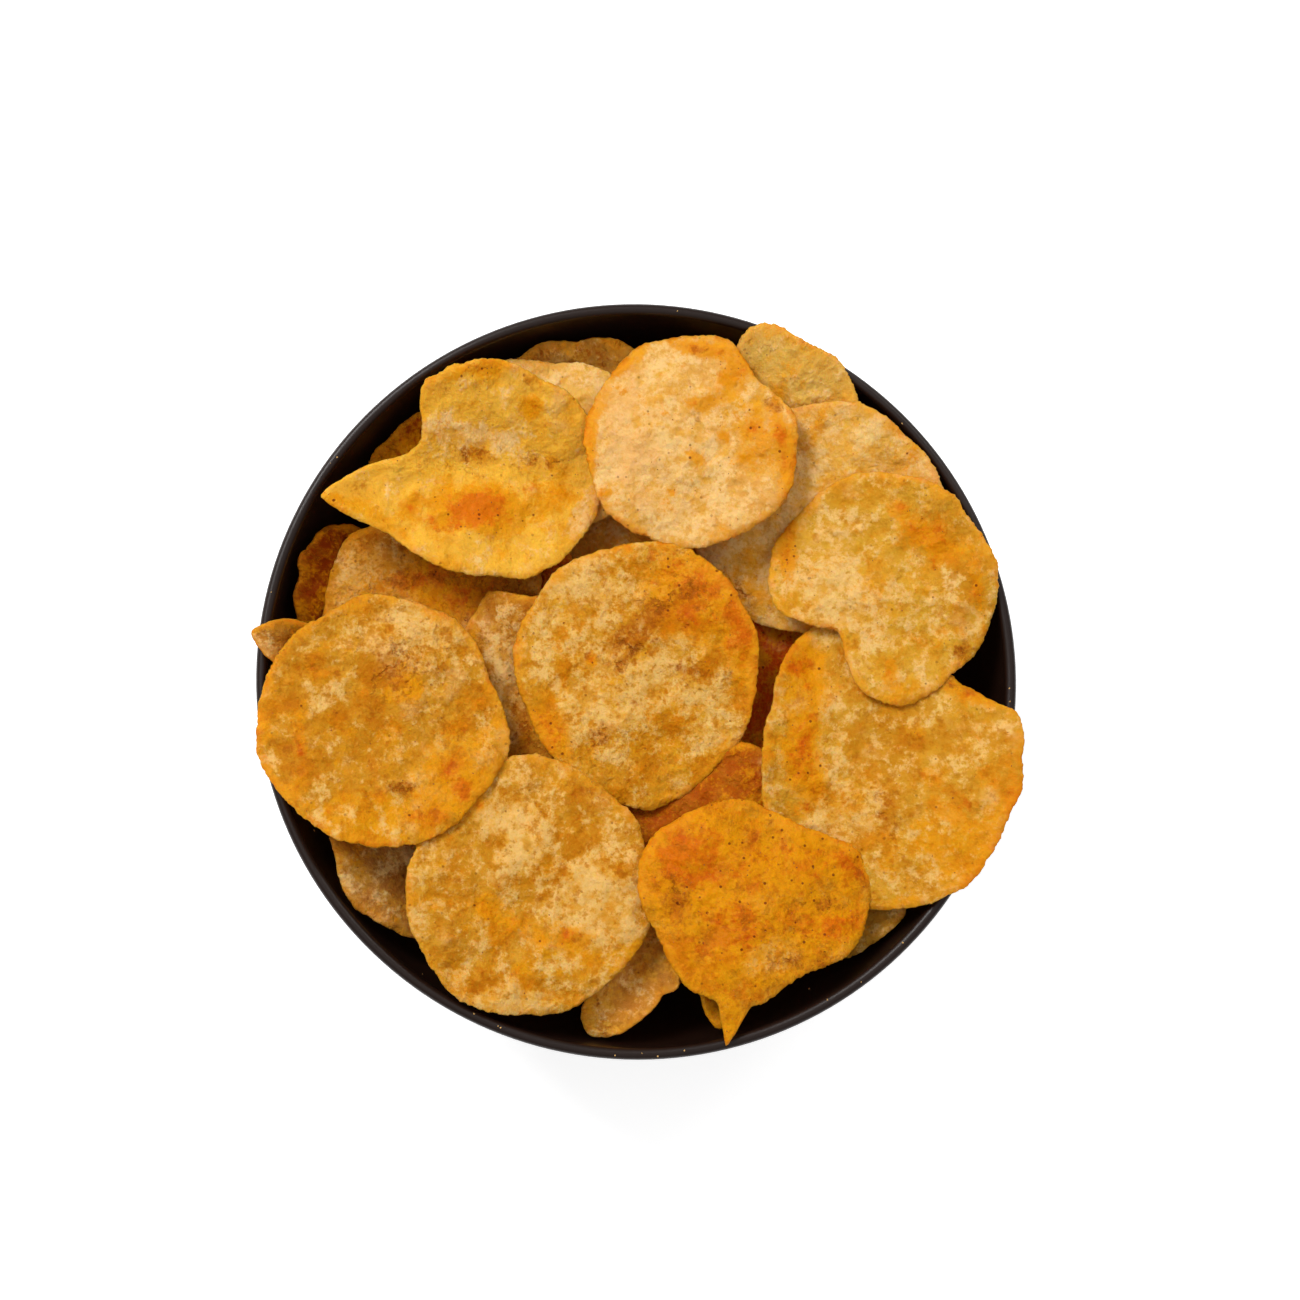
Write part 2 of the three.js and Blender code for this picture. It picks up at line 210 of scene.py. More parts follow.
# %% [markdown]
# ## Growing a mesh with Geometry Nodes
#
# A Geometry Nodes tree is a recipe with named sizes. We hand it a mesh, set the sizes on the
# modifier by their sockets' identifiers, and keep the result as a plain mesh, because only plain
# meshes travel to other programs.

# %% Recipes and their results
def recipe(name, **sizes):
    """A Geometry Nodes tree with those named inputs. Gives its graph and a wire for each input."""
    tree = bpy.data.node_groups.new(name, "GeometryNodeTree")
    inputs = {"Geometry": "Geometry", **sizes, "Material": "Material"}
    for label, kind in inputs.items():
        tree.interface.new_socket(label, in_out="INPUT", socket_type="NodeSocket" + kind)
    tree.interface.new_socket("Geometry", in_out="OUTPUT", socket_type="NodeSocketGeometry")
    start = tree.nodes.new("NodeGroupInput")
    graph = Graph(tree)
    return graph, {label: Wire(graph, pick(start.outputs, label)) for label in inputs}


def serve(graph, shape, given):
    """Ends a recipe: copies are made real, and the whole gets its material."""
    real = graph.node("GeometryNodeRealizeInstances", {}, {0: shape})
    dressed = graph.node("GeometryNodeSetMaterial", {}, {
        "Geometry": real, "Material": given["Material"]})
    end = graph.tree.nodes.new("NodeGroupOutput")
    graph.tree.links.new(dressed.socket, end.inputs["Geometry"])
    return graph.tree


def grow(name, mesh, tree, material, **sizes):
    """Runs a recipe on a mesh and gives the result as an object with a plain mesh."""
    grown = add_object(name, mesh)
    modifier = grown.modifiers.new("recipe", "NODES")
    modifier.node_group = tree
    sizes["Material"] = material
    for item in tree.interface.items_tree:
        if item.in_out == "INPUT" and item.name in sizes:
            modifier[item.identifier] = sizes[item.name]
    depsgraph = bpy.context.evaluated_depsgraph_get()
    plain = bpy.data.meshes.new_from_object(
        grown.evaluated_get(depsgraph), preserve_all_data_layers=True, depsgraph=depsgraph)
    grown.modifiers.clear()
    grown.data = plain
    plain.name = name
    return grown


# %% [markdown]
# ## Turning the bowl
#
# A bowl is made on a wheel: one profile, turned about one axis. It could be a Spin of an edge in
# edit mode, or a Screw modifier. Here a recipe does it: a grid has one column for each side and
# one row for each point of the profile, and each of its points is sent to its place round the
# axis. The first and last columns then meet and are merged, as are the points on the axis.

# %% The bowl's sizes
RIM_RADIUS = 80.0
BOWL_HEIGHT = 64.0
WALL = 2.4
FOOT_RADIUS = 38.0
FOOT_WIDTH = 4.5
FOOT_HEIGHT = 3.0
RECESS = 2.2
WALL_ROUNDNESS = 1.6
WALL_TOP = BOWL_HEIGHT - WALL / 2
WALL_STEPS, RIM_STEPS, BOWL_SIDES = 56, 16, 192
print("the bowl is", 2 * RIM_RADIUS, "mm across and", BOWL_HEIGHT, "mm high")


def wall_curve(inset, steps):
    """Points down the wall from the rim to the foot, that far inside the outside."""
    turn = np.linspace(0, math.pi / 2, steps + 1)
    out = np.cos(turn).clip(0) ** (2 / WALL_ROUNDNESS)
    down = np.sin(turn) ** (2 / WALL_ROUNDNESS)
    radius = FOOT_RADIUS + (RIM_RADIUS - FOOT_RADIUS - inset) * out
    return np.column_stack([radius, WALL_TOP - (WALL_TOP - FOOT_HEIGHT - inset) * down])


def inside_height(radius, inset):
    """Height of the inside of the bowl at a distance from the axis."""
    out = ((radius - FOOT_RADIUS) / (RIM_RADIUS - FOOT_RADIUS - inset)).clip(0, 1)
    high = WALL_TOP - FOOT_HEIGHT - inset
    return WALL_TOP - high * (1 - out**WALL_ROUNDNESS) ** (1 / WALL_ROUNDNESS)


# %% The bowl's profile
def bowl_profile():
    """The bowl's outline, from the middle of its underside over the rim to that of its inside."""
    foot_inside = FOOT_RADIUS - FOOT_WIDTH
    under = [(0, RECESS), (foot_inside - 1.2, RECESS), (foot_inside - 0.4, RECESS - 0.5),
             (foot_inside + 0.1, 0.4), (foot_inside + 0.5, 0), (FOOT_RADIUS - 0.9, 0),
             (FOOT_RADIUS - 0.3, 0.3), (FOOT_RADIUS, 1.0)]
    turn = np.linspace(0, math.pi, RIM_STEPS + 1)[1:-1]
    rim = np.column_stack([
        RIM_RADIUS - WALL / 2 + WALL / 2 * np.cos(turn), WALL_TOP + WALL / 2 * np.sin(turn)])
    inside = wall_curve(WALL, WALL_STEPS)
    bottom = [(radius, inside[-1][1]) for radius in (30, 20, 10, 0)]
    return np.vstack([under, wall_curve(0, WALL_STEPS)[::-1], rim, inside, bottom])


profile = bowl_profile()
print("the profile has", len(profile), "points")

# %% The turning recipe
graph, given = recipe("turning", Points="Int", Sides="Int")
grid = graph.node("GeometryNodeMeshGrid", {}, {
    "Vertices X": given["Sides"] + 1, "Vertices Y": given["Points"]})
index = graph.node("GeometryNodeInputIndex")
row = index.math("MODULO", index, given["Points"])
column = index.math("FLOOR", index / given["Points"])
where = graph.node("GeometryNodeInputPosition")
on_profile = graph.node("GeometryNodeSampleIndex", {"data_type": "FLOAT_VECTOR"}, {
    "Geometry": given["Geometry"], "Value": where, "Index": row})
radius = graph.axis(on_profile, "X")
angle = column / given["Sides"] * (2 * math.pi)
place = graph.node("ShaderNodeCombineXYZ", {}, {
    "X": radius * angle.math("COSINE", angle),
    "Y": radius * angle.math("SINE", angle),
    "Z": graph.axis(on_profile, "Z")})
turned = graph.node("GeometryNodeSetPosition", {}, {"Geometry": grid, "Position": place})
closed = graph.node("GeometryNodeMergeByDistance", {}, {"Geometry": turned, "Distance": 1e-6})
turning = serve(graph, closed, given)


def turn_outline(name, outline, material, sides):
    """Turns an outline, given as radii and heights, into an object with a smooth surface."""
    points = [(radius * MM, 0, height * MM) for radius, height in outline]
    line = bpy.data.meshes.new("outline")
    line.from_pydata(points, [(i, i + 1) for i in range(len(points) - 1)], [])
    turned = grow(name, line, turning, material, Points=len(points), Sides=sides)
    turned.data.shade_smooth()
    return turned


# %% [markdown]
# ## The bowl's finish
#
# The bowl is moulded from dark plastic with a satin surface. Its black is a little warm, and its
# gloss isn't even: hands and washing have left the wall slightly duller in places. That is one
# noise on the roughness, and a very low one on the surface.

# %% Bowl material
@finish
def satin_black(graph):
    place = graph.node("ShaderNodeTexCoord", give="Object")
    worn = graph.noise(place, 0.02, 4, 0.6)
    fine = graph.noise(place, 0.0012, 2, seed=2.0)
    return {"Base Color": graph.mix(paint(24, 12, 7), paint(38, 21, 13), worn),
            "Roughness": worn * 0.14 + 0.3, "Normal": graph.bump(fine, 0.15, 0.0001),
            "Specular IOR Level": 0.3}


# %% Turn the bowl
bowl = turn_outline("bowl_turned", profile, satin_black, BOWL_SIDES)
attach(bowl, "root")
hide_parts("bowl")
print("bowl:", len(bowl.data.polygons), "faces")

# %% [markdown]
# ## What a crisp is
#
# A crisp starts as a round slice of potato, 1 to 2 mm thick. In hot fat the water boils out, the
# slice curls, blisters rise on it, and it browns first where it is thinnest: at its edge and on
# its blisters. We write a slice down as a cook would see it: how wide it is, where its outline
# bulges or is nicked, how it cups and folds, and where it is creamy, glassy, toasted or seasoned.

# %% Words for a crisp's outline and folds
def corner(toward, out, spread):
    """A pointed part of the outline, toward an angle in degrees, that far out."""
    return (math.radians(toward), out, math.radians(spread), True)


def lobe(toward, out, spread):
    """A rounded bulge of the outline, or a notch if out is below 0."""
    return (math.radians(toward), out, math.radians(spread), False)


def fold(through, toward, rise, soft):
    """Beyond a line through a point the slice rises, toward that angle, rounded over soft."""
    return (through, math.radians(toward), rise, soft)


STAINS = ("seasoned", "toasted", "creamy", "golden", "glassy", "rosy")

# %% A crisp's shape
TIP_LIMIT = 0.5
LOBED, UNEVEN, WAVY = 0.5, 0.35, 0.5


class Crisp:
    """One slice. Angles are in radians and lengths in mm, from the slice's own middle."""

    count = 0

    def __init__(self, at, across, tone, cup, turn=0, lean=(0, 0), tip=TIP_LIMIT, press=0.0,
                 edge=(), folds=(), mottle=0.5, rim=0.2, **stains):
        Crisp.count += 1
        self.phase = 2.4 * Crisp.count
        self.at, self.across, self.turn = np.array(at), across, math.radians(turn)
        self.cup, self.edge, self.folds, self.press = cup, edge, folds, press
        self.start, self.tip, self.lean, self.rest = lean, tip, (0, 0), 0.0
        self.tone, self.mottle, self.rim = tone, mottle, rim
        self.stains = stains

    def reach(self, angle):
        """Distance from the middle to the outline. No two slices are uneven in the same way."""
        own = angle - self.turn
        half_wide, half_deep = self.across[0] / 2, self.across[1] / 2
        distance = 1 / np.hypot(np.cos(own) / half_wide, np.sin(own) / half_deep)
        for toward, out, spread, pointed in self.edge:
            turn = np.abs(angle - toward) % (2 * math.pi)
            aside = (np.minimum(turn, 2 * math.pi - turn) / spread).clip(0, 1)
            distance = distance + out * ((1 - aside) ** 1.5 if pointed else (1 - aside**2) ** 2)
        lobed = LOBED * np.sin(3 * angle + self.phase)
        return distance + (lobed + UNEVEN * np.sin(7 * angle + 2 * self.phase))

    def height(self, x, y):
        """Height of the sheet over a place beside its middle."""
        cos, sin = math.cos(self.turn), math.sin(self.turn)
        along = (x * cos + y * sin) / (self.across[0] / 2)
        over = (y * cos - x * sin) / (self.across[1] / 2)
        z = self.cup[0] * along**2 + self.cup[1] * over**2
        for through, toward, rise, soft in self.folds:
            beyond = (x - through[0]) * math.cos(toward) + (y - through[1]) * math.sin(toward)
            z = z + rise * (beyond + np.hypot(beyond, soft)) / 2
        z = z + WAVY * np.sin(0.19 * x + self.phase) * np.cos(0.16 * y + 2 * self.phase)
        return z + self.lean[0] * x + self.lean[1] * y

    def up(self, x, y, step=0.25):
        """The sheet's upward normals."""
        slope_x = (self.height(x + step, y) - self.height(x - step, y)) / (2 * step)
        slope_y = (self.height(x, y + step) - self.height(x, y - step)) / (2 * step)
        normal = np.stack([-slope_x, -slope_y, np.ones_like(slope_x)], -1)
        return normal / np.linalg.norm(normal, axis=-1, keepdims=True)

    def grid(self, steps):
        """Places spread evenly over the slice: a square grid, drawn out to the outline."""
        u, v = np.meshgrid(*[2 * np.arange(steps + 1) / steps - 1] * 2, indexing="ij")
        ring = np.maximum(np.abs(u), np.abs(v))
        wide = np.abs(u) > np.abs(v)
        ratio = np.where(wide, v / np.where(u == 0, 1, u), u / np.where(v == 0, 1, v))
        turn = np.pi / 4 * ratio
        angle = np.where(wide, turn + np.where(u < 0, np.pi, 0),
                         np.pi / 2 - turn + np.where(v < 0, np.pi, 0))
        distance = ring * self.reach(angle)
        return distance * np.cos(angle), distance * np.sin(angle), ring


# %% [markdown]
# ## The slices that show
#
# They are listed from the lowest to the highest, each with its middle as seen from above, its
# size, its tone and how far it cups along and across. `tip` says how far it may lean, `mottle` how
# patchy its flesh is and `rim` how brown its edge. `creamy`, `glassy`, `toasted` and the like say
# how much of that lies all over it, and then where there is more: each stain's middle, width and
# depth in mm, its strength and its turn.

# %% The slices in the dark, low in the bowl
# The deep red-brown tones below are partly the slices' own browning and partly painted shade and
# warm bounced light, darker and redder than the slices on top because these lie in shade.
BROWNED_AND_SHADED = (186, 72, 2)
LOW = (
    Crisp((3, -50), (36, 32), BROWNED_AND_SHADED, (2, -1), toasted=0.4),
    Crisp((-52, -27), (28, 32), BROWNED_AND_SHADED, (2, 2), seasoned=0.6),
    Crisp((-65, 21), (14, 28), (150, 60, 6), (2, -2), turn=-18, lean=(-0.8, 0.3), tip=0,
        toasted=0.5, seasoned=0.2),
    Crisp((-42, 42), (32, 32), (176, 76, 4), (3, 1), toasted=0.45, seasoned=0.5),
    Crisp((-11, 59), (40, 30), (188, 138, 68), (1, 3), toasted=0.45, creamy=0.3),
    Crisp((14, 59.5), (32, 27), (198, 146, 60), (3, 0), creamy=0.4, toasted=0.2),
    Crisp((-6, 30), (44, 36), (232, 162, 60), (-1, 2), toasted=0.15, creamy=0.3),
    Crisp((-45, -36), (38, 36), (188, 124, 60), (2, -1), creamy=0.45, toasted=0.2),
    Crisp((-28, 17), (34, 36), (190, 76, 0), (2, 1), tip=0.15, seasoned=0.3, toasted=0.25),
    Crisp((-42.5, 14), (47, 45), (196, 124, 30), (0, -2), press=0.9, edge=(lobe(140, 2, 36),),
        mottle=0.9, creamy=(0.25, (-13, 8, 16, 14)), toasted=(0.35, (12, 10, 14, 8, 0.6)),
        seasoned=(0.25, (2, 7, 18, 10, 0.7))),
    Crisp((-20, -4), (44, 42), (196, 124, 34), (-2, 2), tip=0.15, edge=(corner(118, 4, 22),),
        mottle=0.6, creamy=(0.25, (-7, 4, 8, 25, 0.8)), toasted=(0.25, (-5, -8, 5, 12, 0.5))),
    Crisp((26, -14), (34, 40), (180, 48, 0), (1, -1), seasoned=0.15, toasted=0.1),
    Crisp((32, 2), (36, 40), (206, 82, 0), (-1, 2), seasoned=0.35, toasted=0.1),
    Crisp((41.5, -44), (30, 30), (200, 148, 64), (2, -1), tip=0.3, creamy=0.4, toasted=0.3),
    Crisp((28, -34), (42, 36), (206, 140, 34), (-2, 1), creamy=0.2, golden=0.3, toasted=0.2),
    Crisp((11, -31), (44, 36), (188, 94, 4), (1, -2), turn=30, seasoned=0.2, toasted=0.25),
    Crisp((2.8, -61), (34.5, 12), (204, 136, 60), (-1, 3), turn=55, press=0.4,
        edge=(lobe(210, 4, 30),), toasted=0.3, creamy=0.35),
    Crisp((16.5, -54), (9, 33), (196, 124, 26), (0, 1), tip=0.15, press=1,
        edge=(corner(272, 3, 40),), seasoned=0.4),
    Crisp((-66, 4.2), (24, 11), (198, 134, 54), (0, 3), turn=-12, lean=(-0.45, 0.05), tip=0,
        press=0.5, edge=(corner(164, 4, 40),), rim=0.5, toasted=0.3, creamy=0.3),
)
print(len(LOW), "slices lie low")

# %% The slices on top
HIGH = (
    Crisp((33, 58.5), (28, 27), (230, 184, 96), (1, -1), turn=135, edge=(lobe(122, 5, 34),
        lobe(60, -1.5, 40)), mottle=0.4, rim=0.15, creamy=0.3, glassy=0.15,
        toasted=(0, (-10, 9, 4, 12, 0.5))),
    Crisp((-20, 50.5), (47, 38), (240, 190, 104), (3, -1), mottle=0.1, rim=0.1, creamy=0.5),
    # The golden stain at this slice's lower left is painted light: it warms and brightens a part
    # that lies in the shade of the slices beside it, as light shining through thin slices would.
    Crisp((40.3, 33.8), (50, 49), (246, 190, 96), (-1, 2), edge=(lobe(195, 3, 45),), creamy=0.6,
        glassy=0.1, golden=(0, (-21, -14, 16, 18, 1, 20)), seasoned=(0, (-2, 20, 3, 9, 0.8, -15),
        (20, 17, 4, 13, 0.8, -30), (10, 24, 13, 2, 0.6, -15)),
        toasted=(0, (-18, -15, 6, 13, 0.6, 30))),
    # Along the fold of this slice, the toasted band at (-3, 4) is partly its own browning and partly
    # painted shade of the crease, and the creamy band above it, at (-4, 9), is partly painted light.
    Crisp((-31, 42), (52, 43), (248, 190, 70), (1, -1), turn=8, tip=0.3,
        edge=(corner(189, 9.5, 24), lobe(157, -7.5, 32), lobe(105, 3.2, 42), lobe(2, -2.4, 58)),
        folds=(fold((0, 1), -92, 0.55, 5), fold((0, 3), 95, 0.3, 6)), mottle=0.35, rim=0.2,
        golden=(0.2, (-27, -8, 12, 5, 0.8, -20)), creamy=(0.3, (-4, 9, 21, 5, 0.8),
        (18, -8, 3, 9, 0.9, -30)), seasoned=(0, (-1, 23, 8, 3, 0.9, 20), (-8, 21, 6, 2, 0.6, 35),
        (9, 15, 3, 4), (-2, -6, 13, 8, 1, -10), (-4, -8, 24, 10, 0.75, 6), (-17, -7, 5, 6, 0.6),
        (-33, -6, 4, 4, 0.8), (12, -3, 9, 6, 0.5)), toasted=(0, (-3, 4, 19, 5, 0.8),
        (12, 4, 7, 3, 0.6))),
    Crisp((52, -20), (53, 57), (220, 164, 54), (2, -2), turn=-35, edge=(corner(24, 3.2, 24),
        lobe(46, -3.9, 34), lobe(115, 7, 40), lobe(200, -0.8, 30), lobe(233, -5, 30),
        lobe(-62, 2.2, 50)), folds=(fold((-14, 4), 180, 0.6, 4),), mottle=1, rim=0.25,
        creamy=(0.4, (-7, -9, 13, 13, 0.7)), glassy=(0.2, (-1, 4, 19, 17), (21, 8, 15, 8, 0.7)),
        golden=(0.15, (-17, 12, 10, 40, 1, 5), (12, -15, 19, 15)),
        seasoned=(0, (-18, 24, 9, 13, 1, 30), (-17, 4, 9, 22, 0.9, 5), (21, 16, 19, 5, 0.9, -12),
        (15, -10, 7, 6, 0.7), (11, -17, 6, 4, 0.5), (26, -5, 3, 13, 0.5)),
        toasted=(0, (16, 18, 8, 3, 0.7, -20), (0, -9, 8, 13, 0.5))),
    Crisp((52, 20.4), (48, 45), (224, 170, 58), (-2, 1), turn=-20, edge=(lobe(-80, 4, 32),
        lobe(-136, -8.5, 34)), folds=(fold((-12, -8), 215, 0.5, 4),), mottle=0.75, rim=0.3,
        creamy=(0.45, (-11, -4, 13, 13, 0.6)), glassy=(0.1, (17, 0, 10, 19), (-7, 13, 13, 8, 0.5)),
        golden=(0.1, (10, 8, 13, 10, 1, -40), (-5, -4, 7, 7)), seasoned=(0, (3, 15, 4, 4, 1, -30),
        (9, 9, 10, 9, 0.85, -40), (-20, 8, 4, 13), (1, -19, 3, 5, 0.8), (20, -4, 3, 19, 0.5, 10)),
        toasted=(0, (-11, -11, 3, 3), (16, -15, 6, 5, 0.8, 30))),
    Crisp((0, 1.5), (51, 53), (222, 156, 36), (2, -1), turn=30, tip=0.22,
        edge=(lobe(-88, 2, 40), lobe(75, 1.6, 50)), mottle=1.1, rim=0.4,
        creamy=(0.4, (-14, 16, 15, 13), (-3, -3, 19, 13, 1.1, 30), (16, -9, 10, 13, 0.8, 20)),
        toasted=(0.15, (13, 16, 10, 8, 0.5), (1, 10, 19, 5, 1.1, 40), (-2, 3, 10, 2, 1, 50),
        (11, 0, 13, 3, 0.7, -10), (-8, -14, 8, 6, 0.5)), golden=(0.15, (-20, -9, 8, 13, 0.7)),
        seasoned=(0, (13, 16, 21, 15, 1.2, -30), (22, 7, 6, 19, 1.1), (-18, -14, 6, 13, 0.8, 30),
        (-10, 2, 3, 3), (-8, 27, 19, 3, 0.6)), glassy=(0, (-3, -20, 19, 8, 0.7))),
    Crisp((-22.7, -44.2), (51, 54), (214, 150, 40), (2, -1), mottle=1, rim=0.25,
        creamy=(0.4, (-2, 12, 10, 13, 0.9, 20), (14, -3, 15, 15, 0.9, 20), (-2, -24, 21, 6, 0.8)),
        glassy=(0.25, (6, 8, 19, 25)), golden=(0.15, (10, -15, 25, 10, 0.8)),
        seasoned=(0, (-9, -4, 5, 5), (-3, -8, 6, 4, 0.5, -30), (8, -11, 13, 5, 0.8),
        (-11, 18, 6, 10, 0.5, 30)), toasted=(0, (10, -11, 3, 2), (14, 20, 15, 5, 0.5))),
    Crisp((-54, -10.3), (50, 52.5), (214, 150, 38), (-1, 3), press=0.4, edge=(lobe(-10, 2, 40),),
        mottle=1.05, rim=0.5, creamy=(0.35, (9, 20, 19, 10, 0.8)), glassy=(0.2, (-14, -5, 10, 19),
        (0, -5, 15, 13, 0.7)), golden=(0.2, (-2, -22, 25, 10)), toasted=(0.15, (3, 11, 13, 13, 0.6),
        (5, -14, 6, 3, 0.8)), seasoned=(0, (5, 7, 8, 8, 0.7), (16, -14, 13, 15, 0.9, 20),
        (9, -20, 8, 3, 0.8), (-16, -3, 3, 19, 0.5), (23, 16, 3, 13, 0.6, 20))),
    Crisp((24, -44), (49, 36), (212, 134, 14), (-2, -1), edge=(corner(-100, 8.5, 9),
        lobe(-99, 6.5, 55), lobe(50, -3.9, 44), lobe(-35, 3, 36), lobe(-130, 2, 28)), mottle=1.2,
        rim=0.4, seasoned=(0.3, (-17, 7, 13, 13, 0.8, 40), (-11, 3, 19, 19, 0.45),
        (10, 5, 23, 10, 0.6, 10), (18, -8, 15, 6, 0.8), (-2, -10, 13, 11, 0.5)),
        golden=(0.4, (-13, -17, 13, 13, 1, -30), (-5, -27, 4, 13), (20, 3, 8, 10, 0.8)),
        creamy=(0.15, (3, -15, 12, 6, 0.8, 10)), toasted=(0.2, (-16, -3, 6, 8, 0.9),
        (15, -4, 6, 3, 0.7), (10, -16, 13, 4, 0.5)), glassy=(0, (9, -17, 19, 7, 0.8, 10))),
    Crisp((11, 50), (45, 46), (232, 174, 94), (1, -2), press=0.6, edge=(lobe(42, -2.6, 30),),
        mottle=0.3, rim=0.6, creamy=(0.5, (-10, 1, 19, 27, 1, 10), (2, -18, 19, 10, 0.8)),
        rosy=(0, (-10, -1, 15, 25, 1, 10)), seasoned=(0, (-22, 1, 3, 23), (-16, 15, 10, 3, 0.7, 40),
        (2, 20, 13, 3, 1, -10), (10, 15, 6, 10, 0.8, -45), (2, 8, 7, 3, 0.8),
        (1, -4, 5, 3, 0.9, -30), (7, 1, 3, 2, 0.8, -40), (15, 1, 9, 15, 0.5, 20),
        (20, -3, 3, 19, 0.9, 10), (-18, -11, 4, 3, 0.5), (-4, -11, 2, 2, 0.6)),
        toasted=(0, (3, 20, 5, 3, 0.8), (1, 4, 2, 5, 0.5), (18, 7, 3, 5, 1, 30)),
        golden=(0, (11, 9, 12, 13))),
)
print(len(HIGH), "slices lie on top of them")

# %% [markdown]
# ## Laying the slices
#
# Real crisps tumble into a bowl and slide until they rest. Rigid body simulation could do that,
# but would put them where it likes. Here each slice is lowered at its own place instead: a map
# holds how high the heap already is, and a slice tips a little, step by step, towards the lean in
# which its middle can sink deepest. Then it is added to the map, and the next one is laid.

# %% The map of heights
CLEARANCE = 0.9
CORE_RADIUS, CORE_EDGE_HEIGHT, CORE_MIDDLE_HEIGHT = 60.0, 40.0, 50.0
SINK = 1.2
LAID_THICKNESS = 0.8
WALL_REACH = 1.0
SPREAD = 0.35
MAP_RADIUS = 96
SAMPLES = 44
map_side = np.arange(-MAP_RADIUS, MAP_RADIUS + 1)
from_axis = np.hypot(*np.meshgrid(map_side, map_side))


def core_height(radius):
    """Height of the mound of hidden slices that the others lie on."""
    rise = CORE_MIDDLE_HEIGHT - CORE_EDGE_HEIGHT
    return CORE_EDGE_HEIGHT + rise * (1 - (radius / CORE_RADIUS) ** 2)


def empty_map():
    """What a slice can rest on before any is laid: the mound, the wall and the rim."""
    inset = WALL + WALL_REACH
    wall = inside_height(from_axis, inset) + CLEARANCE
    height = np.where(from_axis < RIM_RADIUS - inset, wall, 0)
    on_rim = (from_axis >= RIM_RADIUS - inset) & (from_axis < RIM_RADIUS + WALL_REACH)
    height = np.where(on_rim, BOWL_HEIGHT + CLEARANCE, height)
    mound = np.where(from_axis < CORE_RADIUS, core_height(from_axis) - SINK, 0)
    return np.maximum(height, mound)


def cells(x, y):
    """The rows and columns of the map under some places."""
    return (np.floor(y + MAP_RADIUS + 0.5).astype(int), np.floor(x + MAP_RADIUS + 0.5).astype(int))


def stamp(keep, chart, crisp, x, y, height, spread):
    """Adds the heights of a slice to a map, in the cells round each of its points."""
    for aside in (-spread, spread):
        for ahead in (-spread, spread):
            keep.at(chart, cells(crisp.at[0] + x + aside, crisp.at[1] + y + ahead), height)


# %% Lay one slice
FIRST_STEP, LAST_STEP, WAYS = 0.08, 0.002, 8


def lay(crisp, ground):
    """Tips a slice and lowers it until its middle can sink no further, and adds it to the map."""
    x, y, _ = (part.ravel() for part in crisp.grid(SAMPLES))
    z = crisp.height(x, y)
    room = LAID_THICKNESS / 2 / crisp.up(x, y)[:, 2]
    under = ground[cells(crisp.at[0] + x, crisp.at[1] + y)] + room - z

    def rest(lean):
        return float((under - lean[0] * x - lean[1] * y).max())

    lean, step = crisp.start, FIRST_STEP
    height = rest(lean)
    while step > LAST_STEP:
        better = None
        for way in range(WAYS):
            turn = 2 * math.pi * way / WAYS
            tried = (lean[0] + step * math.cos(turn), lean[1] + step * math.sin(turn))
            if math.hypot(*tried) <= crisp.tip and rest(tried) < height - 1e-6:
                height, better = rest(tried), tried
        if better:
            lean = better
        else:
            step /= 2
    crisp.lean, crisp.rest = lean, height - crisp.press
    top = crisp.rest + z + lean[0] * x + lean[1] * y + room
    stamp(np.maximum, ground, crisp, x, y, top, SPREAD)


ground = empty_map()
for crisp in LOW + HIGH:
    lay(crisp, ground)
rests = [round(crisp.rest, 1) for crisp in LOW + HIGH]
print("the middles rest at", rests)

# %% [markdown]
# ## One slice as a mesh
#
# A slice could be a plane with a Solidify modifier, but its stains and its edge follow its own
# shape, so the mesh carries them as attributes: where a point lies on the slice, how far it is
# from the edge, which way is up and out, and how strongly each kind of stain colours it. Both
# faces are drawn out of the same square grid, and a row of points between them rounds the edge.

# %% Sizes of a slice
THICKNESS, EDGE_THICKNESS, EDGE_WIDTH, EDGE_BULGE = 1.1, 0.4, 1.1, 0.15


def stain(x, y, at_x, at_y, wide, deep, strength=1.0, turn=0):
    """How strongly a stain colours some places: its middle and size in mm, its turn in degrees."""
    cos, sin = math.cos(math.radians(turn)), math.sin(math.radians(turn))
    along = ((x - at_x) * cos + (y - at_y) * sin) / (wide / 2)
    over = ((y - at_y) * cos - (x - at_x) * sin) / (deep / 2)
    return strength * np.exp(-0.9 * (along**2 + over**2))


def stain_fields(crisp, x, y):
    """How strongly each kind of stain colours some places on a slice."""
    fields = {}
    for kind in STAINS:
        how = crisp.stains.get(kind, 0)
        everywhere, *spots = how if isinstance(how, tuple) else (how,)
        base = np.full(x.shape, float(everywhere))
        fields[kind] = sum((stain(x, y, *spot) for spot in spots), base)
    return fields


def border(steps):
    """The points round a square grid, anticlockwise from its first corner."""
    side = np.arange(steps)
    full = np.full(steps, steps)
    zero = np.zeros(steps, int)
    i = np.concatenate([side, full, steps - side, zero])
    j = np.concatenate([zero, side, full, steps - side])
    return i * (steps + 1) + j


